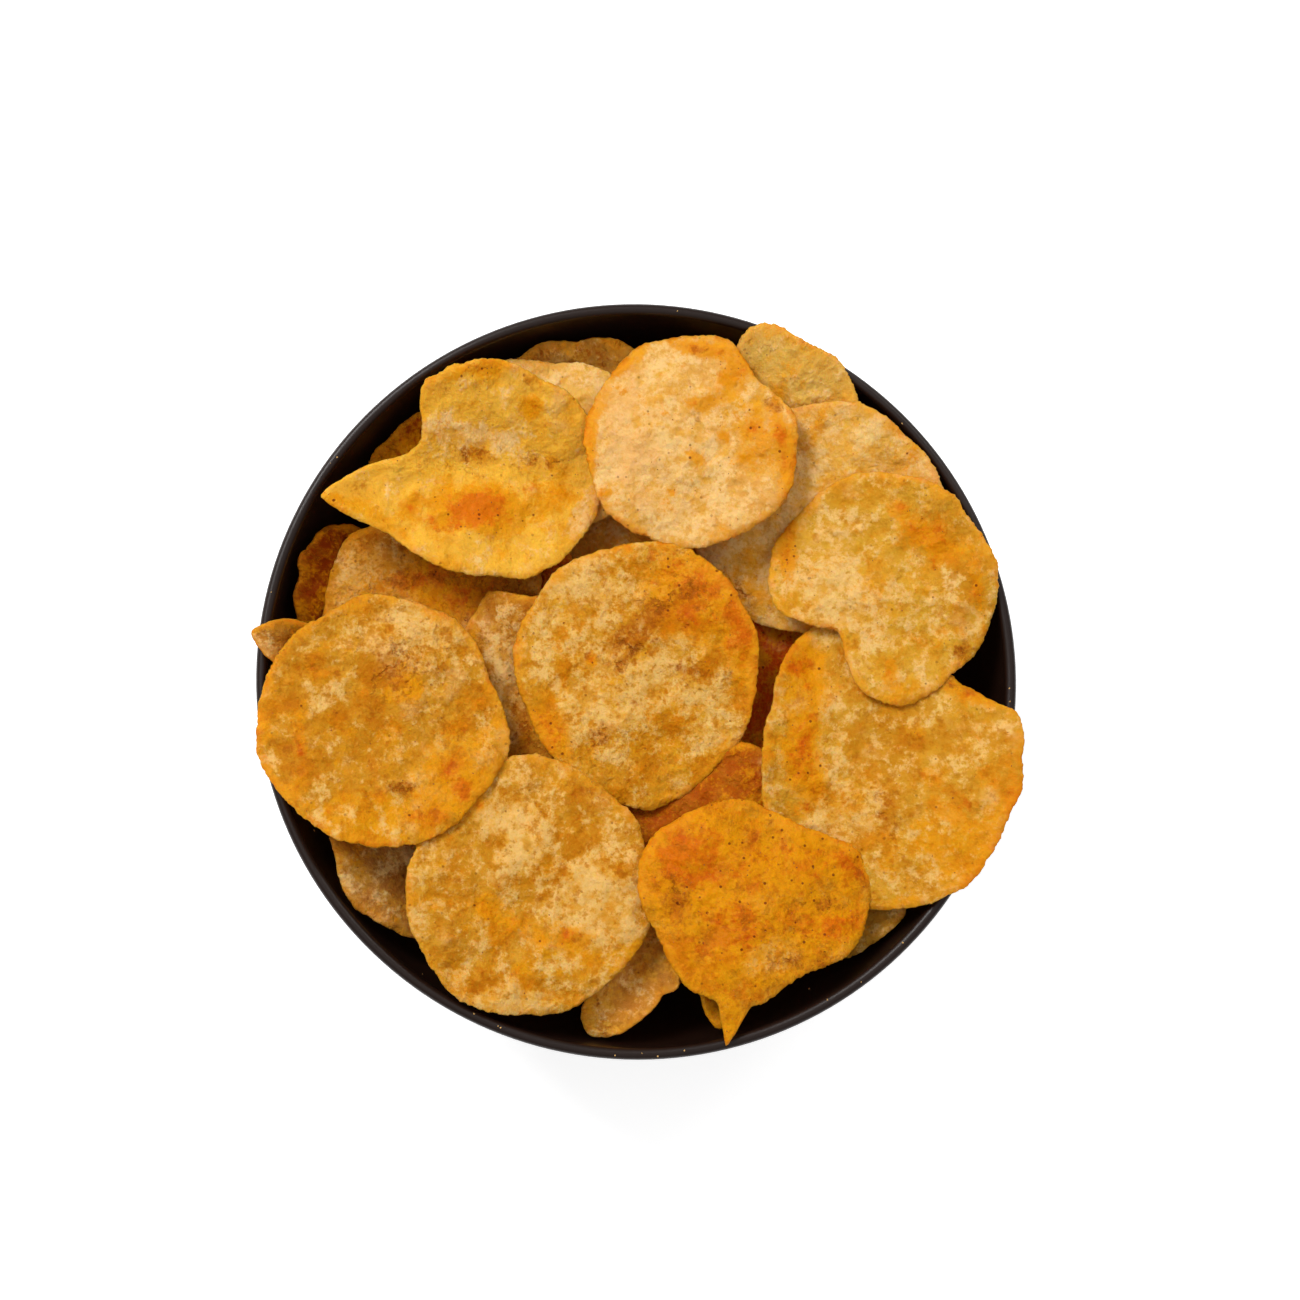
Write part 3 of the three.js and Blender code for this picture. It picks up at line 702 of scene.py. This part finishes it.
def slice_parts(crisp, steps):
    """The points, faces and attributes of one slice, in mm."""
    x, y, ring = crisp.grid(steps)
    angle = np.arctan2(y, x)
    from_edge = (1 - ring) * crisp.reach(angle)
    up = crisp.up(x, y)
    middle = np.stack([crisp.at[0] + x, crisp.at[1] + y, crisp.rest + crisp.height(x, y)], -1)
    inward = (from_edge / EDGE_WIDTH).clip(0, 1)
    half = (EDGE_THICKNESS + (THICKNESS - EDGE_THICKNESS) * inward * (2 - inward)) / 2
    out = np.stack([np.cos(angle), np.sin(angle), np.zeros_like(x)], -1)
    out = out - up * (out * up).sum(-1, keepdims=True)
    out = out / np.linalg.norm(out, axis=-1, keepdims=True)
    edge = border(steps)
    fields = {"up": up, "out": out, "from_edge": from_edge, **stain_fields(crisp, x, y),
              "x": x, "y": y}
    flat = {name: field.reshape(x.size, -1).squeeze() for name, field in fields.items()}
    middle, half = middle.reshape(-1, 3), half.reshape(-1, 1)
    points = np.vstack([middle + flat["up"] * half, middle - flat["up"] * half,
                        middle[edge] + flat["out"][edge] * EDGE_BULGE])
    values = {name: np.concatenate([field, field, field[edge]]) for name, field in flat.items()}
    own_depth = 13 * crisp.phase + 3 * np.repeat([1, -1, 0], [x.size, x.size, edge.size])
    values["spot"] = np.column_stack([values.pop("x"), values.pop("y"), own_depth])
    values["tone"] = np.tile(paint(*crisp.tone), (len(points), 1))
    for name, value in (("rim", crisp.rim), ("mottle", crisp.mottle), ("seed", 3.7 * crisp.phase)):
        values[name] = np.full(len(points), value)
    first = (np.arange(steps)[:, None] * (steps + 1) + np.arange(steps)).ravel()
    face = np.column_stack([first, first + steps + 1, first + steps + 2, first + 1])
    under, far = x.size, 2 * x.size
    here, after = np.arange(edge.size), np.roll(np.arange(edge.size), -1)
    faces = np.vstack([
        face, face[:, ::-1] + under,
        np.column_stack([far + here, far + after, edge[after], edge[here]]),
        np.column_stack([under + edge[here], under + edge[after], far + after, far + here])])
    return points, faces, values


# %% Slices into a mesh
KINDS = {1: ("FLOAT", "value"), 3: ("FLOAT_VECTOR", "vector"), 4: ("FLOAT_COLOR", "color")}


def slices_mesh(name, crisps, steps):
    """One mesh of some slices, with their attributes."""
    parts = [slice_parts(crisp, steps) for crisp in crisps]
    starts = np.cumsum([0] + [len(points) for points, _, _ in parts])
    points = np.vstack([points for points, _, _ in parts]) * MM
    faces = np.vstack([faces + start for (_, faces, _), start in zip(parts, starts)])
    mesh = bpy.data.meshes.new(name)
    mesh.from_pydata(points.tolist(), [], faces.tolist())
    for field in parts[0][2]:
        value = np.concatenate([values[field] for _, _, values in parts]).astype(np.float32)
        kind, slot = KINDS[value.size // len(value)]
        mesh.attributes.new(field, kind, "POINT").data.foreach_set(slot, value.ravel())
    return mesh


# %% [markdown]
# ## Frying
#
# The frying recipe gives a slice what the fat gives it. It ripples softly, blisters rise in
# places, the crust puckers into grains, and the edge is nicked and ragged. Ripples, blisters and
# puckers move both faces along the sheet's own upward direction, so that the slice stays as thin
# as it was. Only the finest grain moves each face outwards by itself.

# %% The frying recipe
def stored(name, kind="FLOAT"):
    """A field that the mesh carries."""
    return graph.node("GeometryNodeInputNamedAttribute", {"data_type": kind}, {"Name": name})


def vector_math(operation, inputs):
    return graph.node("ShaderNodeVectorMath", {"operation": operation}, inputs)


graph, given = recipe("frying", Ripple="Float", Blister="Float", Grain="Float", Ragged="Float")
spot = stored("spot", "FLOAT_VECTOR")
sheet = vector_math("MULTIPLY", {0: spot, 1: (1, 1, 0)})
own_seed = stored("seed")
ripple = (graph.noise(sheet, 12, 2, 0.4, own_seed) - 0.5) * 4
blister = graph.noise(sheet, 4.6, 2, 0.5, own_seed + 7).rise(0.52, 0.7)
pucker = graph.noise(sheet, 2.6, 4, 0.62, own_seed + 21) - 0.5
near_edge = stored("from_edge").rise(2.4, 0)
lift = ripple * given["Ripple"] + (blister * (1 - near_edge) + pucker * 2) * given["Blister"]
grain = (graph.noise(spot, 0.9, 3, 0.6, own_seed) - 0.5) * (1 - near_edge)
nicks = graph.noise(sheet, 1.3, 3, 0.7, own_seed + 3) + graph.noise(sheet, 5, 1, 0.5, own_seed + 5)
ragged = (nicks - 1) * near_edge
moves = [vector_math("SCALE", {0: way, "Scale": amount}) for way, amount in (
    (stored("up", "FLOAT_VECTOR"), lift),
    (stored("out", "FLOAT_VECTOR"), ragged * given["Ragged"]),
    (graph.node("GeometryNodeInputNormal"), grain * given["Grain"]))]
total = vector_math("ADD", {0: vector_math("ADD", {0: moves[0], 1: moves[1]}), 1: moves[2]})
fried = graph.node("GeometryNodeSetPosition", {}, {"Geometry": given["Geometry"], "Offset": total})
frying = serve(graph, fried, given)

# %% [markdown]
# ## The colour of a crisp
#
# Its colours lie over one another like washes of paint: pale and shaded flesh, golden and glassy
# places, plates of creamy froth, orange seasoning, brown toasting, a browned edge with a thin dark
# line, and a few specks of skin and spice. Where oil has soaked in, in blots, pits and pores, a
# wash multiplies what is under it, which makes it deeper and darker. Every wash asks the slice how
# strong it is there, and noise breaks up its border, coarse for soft stains and fine for froth. A
# slice of dark tone gets little of the pale washes.

# %% Paints
SHADED, PALE = paint(212, 142, 18), paint(240, 182, 72)
GOLDEN, GLASSY, ROSY = paint(240, 166, 12), paint(212, 144, 24), paint(244, 192, 132)
FROTH, WHITE_FROTH = paint(232, 172, 78), paint(250, 208, 150)
SEASONED, REDDENED = paint(224, 146, 2), paint(212, 98, 0)
TOASTED, CREASED, SPECK = paint(168, 88, 6), paint(150, 78, 6), paint(110, 40, 4)
AMBER_EDGE, GILT_EDGE, EDGE_LINE = paint(224, 136, 8), paint(240, 172, 34), paint(206, 108, 4)
OILED, OIL_BLOT = (0.85, 0.79, 0.45, 1.0), (0.88, 0.67, 0.12, 1.0)
OIL_PIT, OIL_PORE = (0.66, 0.42, 0.08, 1.0), (0.78, 0.6, 0.26, 1.0)
SPECK_SPACING = 2.2


# %% Crisp material
@finish
def fried_potato(graph):
    def stored(name, give="Fac"):
        return graph.node("ShaderNodeAttribute", {"attribute_name": name}, give=give)

    def wash(name, breakup, low, high):
        """Where one kind of stain lies, with a border that noise breaks up."""
        return (stored(name) + (breakup - 0.5) * 4).rise(low, high)

    def edging(wide, breakup, wander):
        """1 at the edge, and 0 beyond a width in mm that wanders with a noise."""
        return (stored("from_edge") - (breakup - 0.5) * wander).rise(wide, 0)

    spot = stored("spot", "Vector")
    mottle, rim, tone = stored("mottle"), stored("rim"), stored("tone", "Color")
    cloud, flow, froth, crust, flakes, pits, grit, winding = (
        graph.noise(spot, *lumps) for lumps in (
            (10, 4, 0.6), (6, 6, 0.66, 11), (6.5, 5, 0.7, 5), (4.5, 4, 0.7, 17),
            (3.4, 4, 0.7, 41), (2.2, 3, 0.68, 29), (0.75, 2, 0.6, 23), (6.5, 5, 0.6, 31)))
    vein = 1 - winding.math("ABSOLUTE", winding - 0.5) * 2
    pale = graph.axis(tone, "Y").rise(0.07, 0.26)
    foam = graph.mix(FROTH, WHITE_FROTH, flakes.rise(0.38, 0.56))
    plates = wash("creamy", froth * 0.5 + flakes * 0.35 + grit * 0.15, 0.35, 0.75)
    orange = wash("seasoned", flow * 0.45 + flakes * 0.3 + grit * 0.25, 0.1, 0.6)
    toasted = wash("toasted", crust * 0.5 + pits * 0.5, 0.3, 0.9)
    creased = vein.rise(0.92, 0.99) * (pits.rise(0.42, 0.6) * (stored("toasted") + 0.12))
    creased = creased.clamped()
    line = edging(1.8, froth, 3) * flow.rise(0.42, 0.58) * flakes.rise(0.4, 0.6)
    peppered = graph.node("ShaderNodeTexVoronoi", {"voronoi_dimensions": "3D"}, {
        "Vector": spot, "Scale": 1 / SPECK_SPACING}, "Distance")
    chosen = graph.axis(peppered.output("Color"), "X") + orange * 0.25 > 0.72
    speck = peppered.rise(0.17, 0.08) * chosen * (0.5 + orange)

    colour = tone
    for coat in (
            (SHADED, cloud.rise(0.54, 0.38) * mottle * pale * 0.65),
            (PALE, crust.rise(0.47, 0.6) * pale * 0.7),
            (GOLDEN, wash("golden", flow, 0.2, 0.9) * 0.8),
            (GLASSY, wash("glassy", crust, 0.3, 0.9) * 0.65),
            (foam, plates * (1 - pits.rise(0.47, 0.36) * 0.6) * 0.9),
            (ROSY, wash("rosy", cloud, 0.3, 0.9) * 0.75),
            (OILED, mottle * 0.45 + 0.4, "MULTIPLY"),
            (SEASONED, orange * 0.9),
            (REDDENED, wash("seasoned", crust, 0.6, 1.3) * 0.75),
            (OIL_BLOT, froth.rise(0.53, 0.36) * mottle, "MULTIPLY"),
            (OIL_PIT, pits.rise(0.47, 0.33) * mottle * 0.5, "MULTIPLY"),
            (OIL_PORE, grit.rise(0.48, 0.3) * 0.3, "MULTIPLY"),
            (TOASTED, toasted * (0.45 + grit.rise(0.6, 0.4) * 0.45)),
            (AMBER_EDGE, (edging(2.6, flow, 16) * rim).clamped() * 0.85),
            (CREASED, creased * 0.8),
            (GILT_EDGE, edging(2.4, flow, 12) * (rim * 0.4 + 0.1)),
            (EDGE_LINE, line * (rim + 0.3)),
            (SPECK, speck.clamped() * 0.85)):
        colour = graph.mix(colour, *coat)
    relief = cloud * 1.8 + froth * 0.5 + flakes * 0.4 + grit * 0.2 + pits * 0.3 - creased * 0.3
    return {"Base Color": colour, "Roughness": 0.6 - orange * 0.14 + (froth - 0.5) * 0.3,
            "Normal": graph.bump(relief, 0.75, 0.0015), "Specular IOR Level": 0.08, "IOR": 1.42,
            "Subsurface Weight": 0.3, "Subsurface Radius": (1.0, 0.4, 0.08),
            "Subsurface Scale": 0.002}


# %% [markdown]
# ## Frying and laying out every slice
#
# The slices on top are seen from close by and get a fine mesh, while those in the dark make do
# with a coarser one. Each becomes a piece of its own, so that each can carry its own picture of
# its colours into another program.

# %% Fry the slices
def dress(piece, node="crisp_heap"):
    """Makes an object part of the bowl of crisps, in place of one of its solids."""
    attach(piece, "root")
    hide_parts(node)
    return piece


RIPPLE, BLISTER, GRAIN, RAGGED = 1.0, 0.45, 0.16, 1.5
HIGH_STEPS, LOW_STEPS, HIDDEN_STEPS = 96, 56, 22


def fry(name, crisps, steps):
    """Fries some slices and adds them to the object as one piece."""
    piece = grow(name, slices_mesh(name, crisps, steps), frying, fried_potato, Ripple=RIPPLE * MM,
                 Blister=BLISTER * MM, Grain=GRAIN * MM, Ragged=RAGGED * MM)
    piece.data.shade_smooth()
    return dress(piece)


shown = [fry(f"crisp_low_{i:02d}", [crisp], LOW_STEPS) for i, crisp in enumerate(LOW)]
shown += [fry(f"crisp_top_{i:02d}", [crisp], HIGH_STEPS) for i, crisp in enumerate(HIGH)]
print(len(shown), "slices,", 2 * sum(len(piece.data.polygons) for piece in shown), "triangles")

# %% [markdown]
# ## What is under them
#
# Through the gaps one sees more slices in the shade of the rest. Their deep orange-browns are partly
# their own browning and partly painted shade. Nobody can see how they lie, so chance may place them:
# along a spiral that fills a disc evenly, each is pushed up until it touches the slices above it, or
# until it is as high as the mound of the imported model. A second map holds the undersides. A slice
# that would end up low in the heap or in the wall is left out. Below them a closed mound of crumbs
# keeps the heap from being hollow.

# %% Slices in the gaps
TRIED = 140
HIDDEN_RADIUS = 66.0
HIDDEN_DEPTH = 15.0
HIDDEN_ACROSS = (30, 42)
HIDDEN_SLOPE, HIDDEN_TIP, HIDDEN_CUP = -0.3, 0.12, 2
# Deep orange-browns: partly the slices' own browning, partly painted shade of the gaps.
HIDDEN_TONES = ((204, 92, 4), (184, 68, 0), (214, 116, 12))
WALL_ROOM = 1.5
UNDER_SPREAD = 0.7
FEW_SAMPLES, MANY_SAMPLES = 30, 60
GOLDEN_ANGLE = math.pi * (3 - math.sqrt(5))
ceiling = core_height(from_axis.clip(0, CORE_RADIUS)) + 1.0


def hang(crisp, samples):
    """Adds the underside of a slice to the map of undersides."""
    x, y, _ = (part.ravel() for part in crisp.grid(samples))
    under = crisp.rest + crisp.height(x, y) - LAID_THICKNESS
    stamp(np.minimum, ceiling, crisp, x, y, under, UNDER_SPREAD)


def push_up(crisp):
    """Lifts a slice until it touches the map of undersides. Says if it then lies well."""
    x, y, _ = (part.ravel() for part in crisp.grid(FEW_SAMPLES))
    z = crisp.height(x, y)
    above = ceiling[cells(crisp.at[0] + x, crisp.at[1] + y)]
    crisp.rest = float((above - LAID_THICKNESS - z).min())
    radius = np.hypot(crisp.at[0] + x, crisp.at[1] + y)
    room = crisp.rest + z - inside_height(radius, WALL) - WALL_ROOM
    return room.min() > 0 and crisp.rest > core_height(np.hypot(*crisp.at)) - HIDDEN_DEPTH


for crisp in LOW + HIGH:
    hang(crisp, MANY_SAMPLES)
chance = np.random.default_rng(11)
hidden = []
for i in range(TRIED):
    across = chance.uniform(*HIDDEN_ACROSS, 2)
    out = (HIDDEN_RADIUS - across.max() / 2) * math.sqrt((i + 0.5) / TRIED)
    angle = GOLDEN_ANGLE * i
    way = np.array([math.cos(angle), math.sin(angle)])
    lean = HIDDEN_SLOPE * out / HIDDEN_RADIUS * way + chance.uniform(-HIDDEN_TIP, HIDDEN_TIP, 2)
    crisp = Crisp(
        (out * math.cos(angle), out * math.sin(angle)), across, HIDDEN_TONES[i % 3],
        turn=chance.uniform(0, 180), cup=chance.uniform(-HIDDEN_CUP, HIDDEN_CUP, 2),
        toasted=0.3, seasoned=0.55, creamy=0.1)
    crisp.lean = tuple(lean)
    if push_up(crisp):
        hang(crisp, FEW_SAMPLES)
        hidden.append(crisp)
under = fry("crisps_under", hidden, HIDDEN_STEPS)
lowest = round(min(crisp.rest for crisp in hidden), 1)
print(len(hidden), "more slices fill the gaps, from", lowest, "mm up")

# %% The mound below
MOUND_DROP = 11.0
MOUND_CLEARANCE = 1.2
MOUND_WALL_STEPS, MOUND_TOP_POINTS, MOUND_SIDES = 40, 30, 72


def mound_profile():
    """The mound's outline from the middle of its underside to the middle of its top."""
    wall = wall_curve(WALL + MOUND_CLEARANCE, MOUND_WALL_STEPS)[::-1]
    wall = wall[wall[:, 1] < CORE_EDGE_HEIGHT - MOUND_DROP]
    radius = np.linspace(CORE_RADIUS, 0, MOUND_TOP_POINTS)
    top = np.column_stack([radius, core_height(radius) - MOUND_DROP])
    return np.vstack([(0, wall[0][1]), wall, top])


@finish
def browned_crumbs(graph):
    place = graph.node("ShaderNodeTexCoord", give="Object")
    crumb = graph.noise(place, 0.004, 5, 0.7)
    colour = graph.mix(paint(120, 58, 14), paint(176, 108, 40), crumb.rise(0.35, 0.65))
    return {"Base Color": colour, "Roughness": 0.8, "Normal": graph.bump(crumb, 0.8, 0.0015)}


mound_line = mound_profile()
mound = dress(turn_outline("crumbs_under", mound_line, browned_crumbs, MOUND_SIDES))
print("the mound is", round(mound_line[:, 1].max(), 1), "mm high in the middle")

# %% [markdown]
# ## Grains and crumbs
#
# Seasoning is shaken over the crisps, so coarse grains of it lie on them, most where they are
# orange. They could be a particle system. Points spread over the faces by Geometry Nodes do the
# same and can read how strongly a slice is seasoned. One helper puts a nugget on each point,
# turned and sized by chance, and two recipes use it: one for the grains, the other for crumbs
# dropped on the bowl.

# %% The sprinkling recipes
def nuggets(graph, points, given):
    """Puts a small lump on each point, turned and sized by chance, and ends the recipe."""
    lump = graph.node("GeometryNodeMeshIcoSphere", {}, {"Radius": given["Size"], "Subdivisions": 1})
    turned, sized = (
        graph.node("FunctionNodeRandomValue", {"data_type": "FLOAT_VECTOR"}, {
            "Min": low, "Max": high, "Seed": seed})
        for low, high, seed in (((0, 0, 0), (6.28, 6.28, 6.28), 1),
                                ((0.5, 0.5, 0.3), (1.5, 1.1, 0.9), 2)))
    placed = graph.node("GeometryNodeInstanceOnPoints", {}, {
        "Points": points, "Instance": lump, "Rotation": turned, "Scale": sized})
    return serve(graph, placed, given)


graph, given = recipe("dusting", Density="Float", Size="Float")
upward = graph.axis(graph.node("GeometryNodeInputNormal"), "Z")
density = given["Density"] * (0.15 + stored("seasoned").clamped()) * (upward > 0.5)
spread = graph.node("GeometryNodeDistributePointsOnFaces", {}, {
    "Mesh": given["Geometry"], "Density": density, "Seed": 5})
dusting = nuggets(graph, spread, given)

graph, given = recipe("dropping", Size="Float")
points = graph.node("GeometryNodeMeshToPoints", {}, {0: given["Geometry"]})
dropping = nuggets(graph, points, given)

# %% Grains of seasoning
GRAIN_DENSITY = 95000.0
GRAIN_SIZE, CRUMB_SIZE = 0.17, 0.24


@finish
def seasoning(graph):
    place = graph.node("ShaderNodeTexCoord", give="Object")
    shade = graph.noise(place, 0.0015, 1)
    colour = graph.mix(paint(128, 56, 8), paint(206, 116, 26), shade.rise(0.4, 0.6))
    return {"Base Color": colour, "Roughness": 0.7}


dusted = bmesh.new()
for piece in shown[len(LOW):]:
    dusted.from_mesh(piece.data)
dusted_mesh = bpy.data.meshes.new("dusted")
dusted.to_mesh(dusted_mesh)
dusted.free()
grains = dress(grow("seasoning_grains", dusted_mesh, dusting, seasoning,
                    Density=GRAIN_DENSITY, Size=GRAIN_SIZE * MM))
print("the grains have", len(grains.data.polygons), "faces")

# %% Crumbs on the bowl
ON_WALL = ((-44.9, -62.3), (-21.2, 75.4), (37.0, -65.3), (69.5, -26.5), (63.0, -36.0),
           (-68.3, -32.0))
RIM_SPECKS = 20


def crumb_places():
    """Where crumbs lie, as points in metres: a few on the wall, and specks on top of the rim."""
    places = [(x, y, float(inside_height(np.hypot(x, y), WALL)) + 0.1) for x, y in ON_WALL]
    for i in range(RIM_SPECKS):
        turn = chance.uniform(0, 2 * math.pi)
        out = RIM_RADIUS - WALL / 2 + chance.uniform(-0.6, 0.6)
        places.append((out * math.cos(turn), out * math.sin(turn), BOWL_HEIGHT - 0.12))
    return [(x * MM, y * MM, z * MM) for x, y, z in places]


@finish
def pale_crumb(graph):
    return {"Base Color": paint(226, 176, 104), "Roughness": 0.8}


crumb_points = bpy.data.meshes.new("crumb_points")
crumb_points.from_pydata(crumb_places(), [], [])
crumbs = dress(grow("crumbs_on_bowl", crumb_points, dropping, pale_crumb, Size=CRUMB_SIZE * MM))
print("the crumbs have", len(crumbs.data.polygons), "faces")

# %% [markdown]
# ## Floor and light
#
# The bowl stands on a plain white table with a glow of its own, like a light table, so that its
# shadow stays pale and soft. A small soft light high at the back on the left models the crinkles,
# a small one at the right draws a thin bright line on the rim, and a broad one above with the pale
# room fills the shadows. Floor and lights are the stage, and no part of the object.

# %% Floor and light
FLOOR_GLOW, ROOM_LIGHT = 0.62, 0.34
BELOW_THE_FOOT = 0.0002
SOFTBOXES = (("key", (-0.55, 0.6, 0.95), 0.5, 10.4), ("glint", (0.5, 0.5, 0.7), 0.25, 1.2),
             ("overhead", (0.2, -0.2, 1.6), 2.4, 7.0))


@finish
def pale_floor(graph):
    return {"Base Color": paint(246, 246, 246), "Roughness": 0.8,
            "Emission Color": (1, 1, 1, 1), "Emission Strength": FLOOR_GLOW}


floor = add_object("floor", bpy.data.meshes.new("floor"))
floor.data.from_pydata([(-3, -3, 0), (3, -3, 0), (3, 3, 0), (-3, 3, 0)], [], [(0, 1, 2, 3)])
floor.location.z = -BELOW_THE_FOOT
floor.data.materials.append(pale_floor)

for name, place, size, power in SOFTBOXES:
    light = bpy.data.lights.new(name, "AREA")
    light.size, light.energy = size, power
    lamp = add_object(name, light)
    lamp.location = place
    lamp.rotation_euler = (aim - Vector(place)).to_track_quat("-Z", "Y").to_euler()
world = bpy.data.worlds.new("room")
world.use_nodes = True
backdrop = world.node_tree.nodes["Background"].inputs
backdrop["Color"].default_value = (1, 1, 1, 1)
backdrop["Strength"].default_value = ROOM_LIGHT
bpy.context.scene.world = world
bpy.context.scene.view_settings.view_transform = "Standard"
